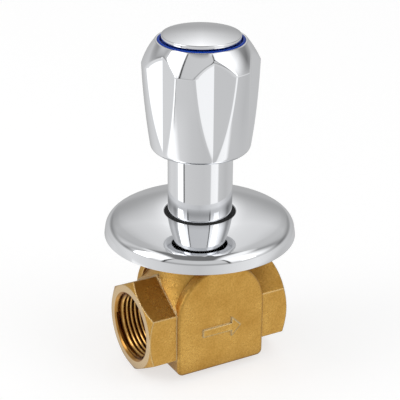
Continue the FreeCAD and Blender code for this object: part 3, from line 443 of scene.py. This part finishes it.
def forged_brass_material():
    """Grainy forged brass: smoother edges with a painted highlight, turned end faces, smooth bores and
    nooks in painted shade.
    """
    material, graph = new_material("forged_brass")
    place = object_place(graph)
    along = along_flow(graph, place)
    radius = flow_radius(graph, place)
    end_face = graph.between(along, PORT_REACH - 0.1 * MM, PORT_REACH - 0.05 * MM)
    bore = graph.between(radius, 14.25 * MM, 14.15 * MM)
    turned_part = graph.math("MAXIMUM", end_face, bore)

    blotch = graph.noise(85.0, 5.0, place, 0.62)
    grain = graph.noise(1300.0, 4.0, place, 0.7)
    pits = graph.noise(2600.0, 2.0, place, 0.6)
    base = graph.mix(graph.between(blotch, 0.3, 0.7), FORGED_DARK, FORGED_LIGHT)
    base = graph.mix(graph.between(grain, 0.60, 0.38, 0.0, 0.42), base, GRAIN_DARK)

    soft_edge = graph.node("ShaderNodeBevel", {"Radius": 0.9 * MM}, samples=8)
    normal = graph.node("ShaderNodeNewGeometry").outputs["Normal"]
    same = graph.node("ShaderNodeVectorMath", {0: soft_edge.outputs[0], 1: normal}, operation="DOT_PRODUCT")
    edge = graph.between(same.outputs["Value"], 0.99, 0.90, 0.0, 1.0)
    # Painted highlight: the edges, which are also made smoother below, are mixed towards pale brass
    base = graph.mix(graph.math("MULTIPLY", edge, 0.75), base, EDGE_HIGHLIGHT)
    base = graph.mix(end_face, base, CUT_FACE)
    # Painted shade: the bores are darkened towards deep brown
    base = graph.mix(bore, base, BORE_SHADE)
    # Painted shade: ambient occlusion darkens the brass in nooks and under the flange
    nook = graph.node("ShaderNodeAmbientOcclusion", {"Distance": 0.012}, samples=6)
    base = graph.mix(graph.between(nook.outputs["AO"], 0.3, 0.9, 0.8, 0.0), base, NOOK_SHADE)

    rough = graph.between(blotch, 0.3, 0.7, 0.35, 0.24)
    rough = graph.math("SUBTRACT", rough, graph.math("MULTIPLY", edge, 0.12))
    rough = graph.math("SUBTRACT", rough, graph.math("MULTIPLY", turned_part, 0.08))
    forged = graph.math("SUBTRACT", 1.0, turned_part)
    relief = graph.math("MULTIPLY", graph.math("MULTIPLY_ADD", pits, 0.35, grain), forged)
    bump = graph.node("ShaderNodeBump", {"Strength": 0.8, "Distance": 0.0002, "Height": relief,
                                         "Normal": soft_edge.outputs[0]})
    bsdf = graph.node("ShaderNodeBsdfPrincipled", {"Base Color": base, "Metallic": 1.0, "Roughness": rough,
                                                   "Normal": bump.outputs[0]})
    close_surface(graph, bsdf)
    return material


def turned_brass_material():
    """Machined brass with fine tool marks, with painted shade in the roots of the ports' threads."""
    material, graph = new_material("turned_brass")
    place = object_place(graph)
    marks = graph.noise(1400.0, 2.0, place)
    tint = graph.mix(graph.between(marks, 0.35, 0.65), TURNED_DARK, TURNED_LIGHT)
    along = along_flow(graph, place)
    in_port = graph.between(along, 16 * MM, 17 * MM)
    root = graph.between(flow_radius(graph, place), THREAD_MINOR + 0.3 * MM, THREAD_MINOR + 0.9 * MM)
    # Painted shade: the thread roots inside the ports are darkened
    tint = graph.mix(graph.math("MULTIPLY", root, in_port), tint, THREAD_ROOT_SHADE)
    bump = graph.node("ShaderNodeBump", {"Strength": 0.2, "Distance": 0.00005, "Height": marks})
    bsdf = graph.node("ShaderNodeBsdfPrincipled", {"Base Color": tint, "Metallic": 1.0, "Roughness": 0.22,
                                                   "Normal": bump.outputs[0]})
    close_surface(graph, bsdf)
    return material


def plain_material(name, dark, light, roughness, metallic, scale, bump_depth, specular=0.5):
    """Two close shades broken up by fine noise."""
    material, graph = new_material(name)
    place = object_place(graph)
    grain = graph.noise(scale, 3.0, place)
    tint = graph.mix(graph.between(grain, 0.35, 0.65), colour(*dark), colour(*light))
    bump = graph.node("ShaderNodeBump", {"Strength": 0.3, "Distance": bump_depth, "Height": grain})
    bsdf = graph.node("ShaderNodeBsdfPrincipled", {"Base Color": tint, "Metallic": metallic,
                                                   "Roughness": roughness, "Specular IOR Level": specular,
                                                   "Normal": bump.outputs[0]})
    close_surface(graph, bsdf)
    return material


# Dark shade, light shade, roughness, metallic, scale of the noise, bump distance, specular level
PLAIN_MATERIALS = {
    "blue_plastic": ((0.0, 0.045, 0.42), (0.0, 0.06, 0.50), 0.4, 0.0, 500.0, 1e-5, 0.15),
    "black_rubber": ((0.002, 0.002, 0.002), (0.006, 0.006, 0.006), 0.75, 0.0, 900.0, 5e-5),
    "gasket_fibre": ((0.20, 0.07, 0.04), (0.32, 0.13, 0.07), 0.8, 0.0, 700.0, 8e-5),
    "steel": ((0.42, 0.43, 0.45), (0.52, 0.53, 0.55), 0.3, 1.0, 1200.0, 2e-5),
}


def make_materials():
    made = {
        "chrome_plate": chrome_material(),
        "forged_brass": forged_brass_material(),
        "turned_brass": turned_brass_material(),
    }
    for name, settings in PLAIN_MATERIALS.items():
        made[name] = plain_material(name, *settings)
    return made


def dress_cad_nodes(materials):
    """Gives every CAD node that stays in view the material of its slot."""
    slots = {row["node"]: row["material_slot"] for row in frame["record"]["subparts"]}
    for node, piece in frame["nodes"].items():
        piece.data.materials.clear()
        piece.data.materials.append(materials[slots[node]])


# Studio

# The camera is fitted to the photo: angles in degrees, lengths in metres
CAMERA_AZIMUTH = -29.3
CAMERA_ELEVATION = 24.4
CAMERA_ROLL = 0.5
CAMERA_DISTANCE = 0.535
CAMERA_TARGET = AXIS_HEIGHT + 48.3 * MM
FOCAL_PIXELS = 1372
IMAGE_PIXELS = 400
SENSOR_WIDTH = 36


def camera_axes():
    """Directions to the camera's right, its top and backward, before its roll."""
    azimuth, elevation = math.radians(CAMERA_AZIMUTH), math.radians(CAMERA_ELEVATION)
    back = Vector((math.sin(azimuth) * math.cos(elevation), -math.cos(azimuth) * math.cos(elevation),
                   math.sin(elevation)))
    right = Vector((math.cos(azimuth), math.sin(azimuth), 0))
    return right, back.cross(right), back


def make_camera():
    right, up, back = camera_axes()
    roll = math.radians(CAMERA_ROLL)
    turned_right = right * math.cos(roll) + up * math.sin(roll)
    turned_up = up * math.cos(roll) - right * math.sin(roll)
    place = Vector((0, 0, CAMERA_TARGET)) + back * CAMERA_DISTANCE
    data = bpy.data.cameras.new("camera")
    data.sensor_width = SENSOR_WIDTH
    data.lens = FOCAL_PIXELS * SENSOR_WIDTH / IMAGE_PIXELS
    camera = bpy.data.objects.new("camera", data)
    turn = Matrix((turned_right, turned_up, back)).transposed().to_4x4()
    camera.matrix_world = Matrix.Translation(place) @ turn
    bpy.context.scene.collection.objects.link(camera)
    bpy.context.scene.camera = camera


# Brightness of the studio's walls by azimuth, in degrees to the right of the camera. The foot, low,
# middle and high walls lie above one another.
FOOT_WALL = [(-180, 0.42), (-150, 0.62), (-120, 0.74), (-90, 0.78), (-84, 1.15), (-60, 1.15), (-50, 0.74),
             (-20, 0.62), (10, 0.57), (34, 0.58), (42, 1.0), (64, 1.06), (72, 0.60), (126, 0.57),
             (180, 0.42)]
LOW_WALL = [(-180, 0.42), (-160, 0.50), (-140, 0.64), (-120, 0.72), (-100, 0.70), (-86, 0.75), (-83, 1.25),
            (-62, 1.25), (-60, 0.08), (-57, 0.08), (-55, 0.66), (-20, 0.63), (10, 0.61), (36, 0.63),
            (40, 1.0), (64, 1.06), (69, 0.62), (100, 0.54), (126, 0.58), (150, 0.58), (180, 0.42)]
MIDDLE_WALL = [(-180, 0.45), (-120, 0.66), (-85, 0.80), (-50, 0.72), (0, 0.60), (40, 0.78), (70, 0.88),
               (110, 0.62), (180, 0.45)]
HIGH_WALL = [(-180, 0.60), (-177.5, 0.53), (-174, 0.41), (-170, 0.36), (-165, 0.33), (-160, 0.25),
             (-140, 0.235), (-115, 0.33), (-98, 0.22), (-90, 0.32), (-80, 0.60), (-46, 0.62), (-44.5, 0.02),
             (-42, 0.02), (-40.5, 0.31), (33.5, 0.32), (35, 0.02), (37, 0.02), (38.5, 0.55), (80, 0.60),
             (96, 0.40), (112, 0.17), (120, 0.17), (135, 0.25), (160, 0.28), (165, 0.36), (170, 0.38),
             (174, 0.41), (177.5, 0.53), (180, 0.60)]
# Brightness overhead, from the camera's left (-1) to its right (1)
ROOF = [(-1.0, 0.5), (-0.6, 1.0), (-0.42, 1.05), (-0.33, 0.2), (0.20, 0.16), (0.31, 1.1), (0.48, 1.1),
        (0.62, 0.5), (1.0, 0.4)]
# Where one zone passes into the next, as sines of the elevation
FOOT_TO_LOW = (-0.54, -0.46)
LOW_TO_MIDDLE = (-0.31, -0.26)
MIDDLE_TO_HIGH = (0.12, 0.32)
HIGH_TO_ROOF = (0.80, 0.88)
# The high walls brighten upward in two steps: from and to this sine, from and to this factor
FIRST_LIFT = (0.2, 0.36, 0.75, 1.35)
SECOND_LIFT = (0.36, 0.5, 1.0, 1.5)


def wall_ramp(graph, place_in_range, stops, reach):
    """A grey ramp through stops that run from -reach to reach."""
    made = graph.node("ShaderNodeValToRGB", {0: place_in_range})
    ramp = made.color_ramp
    while len(ramp.elements) > 1:
        ramp.elements.remove(ramp.elements[-1])
    for index, (position, level) in enumerate(stops):
        place = (position + reach) / (2 * reach)
        element = ramp.elements[0] if index == 0 else ramp.elements.new(place)
        element.position = place
        element.color = colour(level, level, level)
    return made.outputs[0]


def make_world():
    """White to the camera; the walls of a plain studio to everything else."""
    world = bpy.data.worlds.new("studio")
    world.use_nodes = True
    graph = Graph(world.node_tree)
    right, _, back = camera_axes()
    direction = graph.node("ShaderNodeTexCoord").outputs["Generated"]
    forward = Vector((back.x, back.y, 0)).normalized()
    to_camera = graph.node("ShaderNodeVectorMath", {0: direction, 1: forward}, operation="DOT_PRODUCT")
    to_right = graph.node("ShaderNodeVectorMath", {0: direction, 1: right}, operation="DOT_PRODUCT")
    angle = graph.math("ARCTAN2", to_right.outputs["Value"], to_camera.outputs["Value"])
    turn = graph.math("MULTIPLY_ADD", angle, 1 / TURN, 0.5)
    rise = graph.node("ShaderNodeSeparateXYZ", {0: direction}).outputs[2]
    lift = graph.math("MULTIPLY", graph.between(rise, *FIRST_LIFT), graph.between(rise, *SECOND_LIFT))
    high = graph.node("ShaderNodeVectorMath", {0: wall_ramp(graph, turn, HIGH_WALL, 180), "Scale": lift},
                      operation="SCALE").outputs["Vector"]
    side = graph.math("MULTIPLY_ADD", to_right.outputs["Value"], 0.5, 0.5)
    walls = graph.mix(graph.between(rise, *FOOT_TO_LOW), wall_ramp(graph, turn, FOOT_WALL, 180),
                      wall_ramp(graph, turn, LOW_WALL, 180))
    walls = graph.mix(graph.between(rise, *LOW_TO_MIDDLE), walls, wall_ramp(graph, turn, MIDDLE_WALL, 180))
    walls = graph.mix(graph.between(rise, *MIDDLE_TO_HIGH), walls, high)
    walls = graph.mix(graph.between(rise, *HIGH_TO_ROOF), walls, wall_ramp(graph, side, ROOF, 1))
    level = graph.mix(graph.node("ShaderNodeLightPath").outputs["Is Camera Ray"], walls, WHITE)
    background = graph.node("ShaderNodeBackground", {"Color": level, "Strength": 1.0})
    graph.node("ShaderNodeOutputWorld", {"Surface": background.outputs[0]})
    bpy.context.scene.world = world


FLOOR_REACH = 4.0
FLOOR_GREY = 0.5
FLOOR_GLOW = 0.66


def make_floor():
    """Pale floor under the port hexagons. Its glow whitens it for the camera alone, so the shadow stays."""
    mesh = bpy.data.meshes.new("floor")
    corners = [(FLOOR_REACH * across, FLOOR_REACH * along, 0)
               for across, along in ((-1, -1), (1, -1), (1, 1), (-1, 1))]
    mesh.from_pydata(corners, [], [(0, 1, 2, 3)])
    floor = bpy.data.objects.new("floor", mesh)
    bpy.context.scene.collection.objects.link(floor)
    floor.visible_glossy = False
    material, graph = new_material("floor")
    diffuse = graph.node("ShaderNodeBsdfDiffuse", {"Color": colour(FLOOR_GREY, FLOOR_GREY, FLOOR_GREY)})
    lift = graph.math("MULTIPLY", graph.node("ShaderNodeLightPath").outputs["Is Camera Ray"], FLOOR_GLOW)
    glow = graph.node("ShaderNodeEmission", {"Color": WHITE, "Strength": lift})
    both = graph.node("ShaderNodeAddShader", {0: diffuse.outputs[0], 1: glow.outputs[0]})
    close_surface(graph, both)
    mesh.materials.append(material)


# Azimuth to the right of the camera, elevation, distance, width, height, level
PANELS = {
    "left_panel": (-72, 38, 0.9, 0.36, 0.7, 1.2),
    "right_panel": (60, 38, 0.9, 0.3, 0.6, 0.5),
}


def make_panel(name, azimuth, elevation, distance, width, height, level):
    """A soft panel of light that faces the valve."""
    right, _, back = camera_axes()
    forward = Vector((back.x, back.y, 0)).normalized()
    side, rise = math.radians(azimuth), math.radians(elevation)
    level_direction = forward * math.cos(side) + right * math.sin(side)
    direction = level_direction * math.cos(rise) + Vector((0, 0, math.sin(rise)))
    data = bpy.data.lights.new(name, "AREA")
    data.shape = "RECTANGLE"
    data.size, data.size_y = width, height
    data.energy = level * math.pi * width * height
    lamp = bpy.data.objects.new(name, data)
    lamp.location = Vector((0, 0, AXIS_HEIGHT)) + direction * distance
    lamp.rotation_euler = direction.to_track_quat("Z", "Y").to_euler()
    bpy.context.scene.collection.objects.link(lamp)


def make_studio():
    make_camera()
    make_world()
    make_floor()
    for name, settings in PANELS.items():
        make_panel(name, *settings)
    bpy.context.scene.view_settings.view_transform = "Standard"


materials = make_materials()
dress_cad_nodes(materials)
make_handle(materials["chrome_plate"])
make_cap(materials["chrome_plate"])
make_index_ring(materials["blue_plastic"])
make_sleeve(materials["chrome_plate"])
make_flange(materials["chrome_plate"])
make_thread(-1, materials["turned_brass"])
make_thread(1, materials["turned_brass"])
make_studio()
